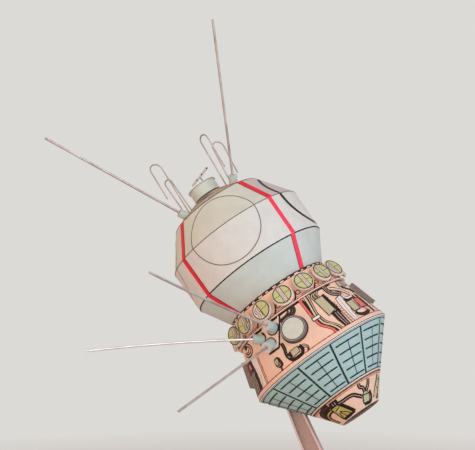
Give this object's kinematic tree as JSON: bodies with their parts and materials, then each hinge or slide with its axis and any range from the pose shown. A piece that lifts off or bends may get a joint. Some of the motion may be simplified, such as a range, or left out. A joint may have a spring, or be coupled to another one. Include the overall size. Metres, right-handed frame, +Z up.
{
  "type": "card model of a spacecraft on a display stand",
  "caption": "Printed card desk model of an early crewed spacecraft: faceted sphere, tank ring, conical module and wire aerials, leaning on a channel strut and a board base.",
  "frame": {"origin": "middle of the base board's underside", "axes": "+Z up; the craft's nose leans towards -X; a viewer stands on the -Y side"},
  "size_m": [0.1532, 0.1523, 0.2461],
  "materials": {
    "base_board": "laminated grey board",
    "blue_card": "matt coated card with printed bars",
    "dark_card": "matt coated card, dark print",
    "disc_card": "matt coated card, printed face, bare cut edge",
    "drum_card": "matt coated card, printed face",
    "mint_card": "matt coated card, cut edges bare",
    "peach_card": "matt coated card with printed lines",
    "plate_card": "matt coated card",
    "skirt_card": "matt coated card with printed tones",
    "sphere_card": "matt coated card with printed tones and lines",
    "steel_wire": "drawn steel wire, bare",
    "strut_card": "folded card strut",
    "white_sleeve": "cut plastic sleeve"
  },
  "bodies": {
    "root": {"aerial_crossbar": "steel_wire", "aerial_mast": "steel_wire", "aerial_sleeves": "white_sleeve", "cap_drum": "mint_card", "cap_lid": "mint_card", "crown": "sphere_card", "crown_rod_left": "steel_wire", "crown_rod_right": "steel_wire", "crown_socket_left": "mint_card", "crown_socket_right": "mint_card", "module_cone": "peach_card", "module_rod_lower": "steel_wire", "module_rod_middle": "steel_wire", "module_rod_upper": "steel_wire", "module_socket_lower": "mint_card", "module_socket_middle": "mint_card", "module_socket_upper": "mint_card", "neck_ridge": "peach_card", "radiator_cone": "blue_card", "round_drum": "drum_card", "side_plate_left": "plate_card", "side_plate_right": "plate_card", "skirt": "skirt_card", "sphere_gore_back": "sphere_card", "sphere_gore_front": "sphere_card", "sphere_gore_left": "sphere_card", "sphere_gore_right": "sphere_card", "stand_base": "base_board", "stand_strut": "strut_card", "tail_cone": "peach_card", "tail_disc": "dark_card", "tank_band": "peach_card", "tank_discs": "disc_card", "wire_hook_left_short": "steel_wire", "wire_hook_left_tall": "steel_wire", "wire_hook_right_short": "steel_wire", "wire_hook_right_tall": "steel_wire"}
  },
  "joints": []
}
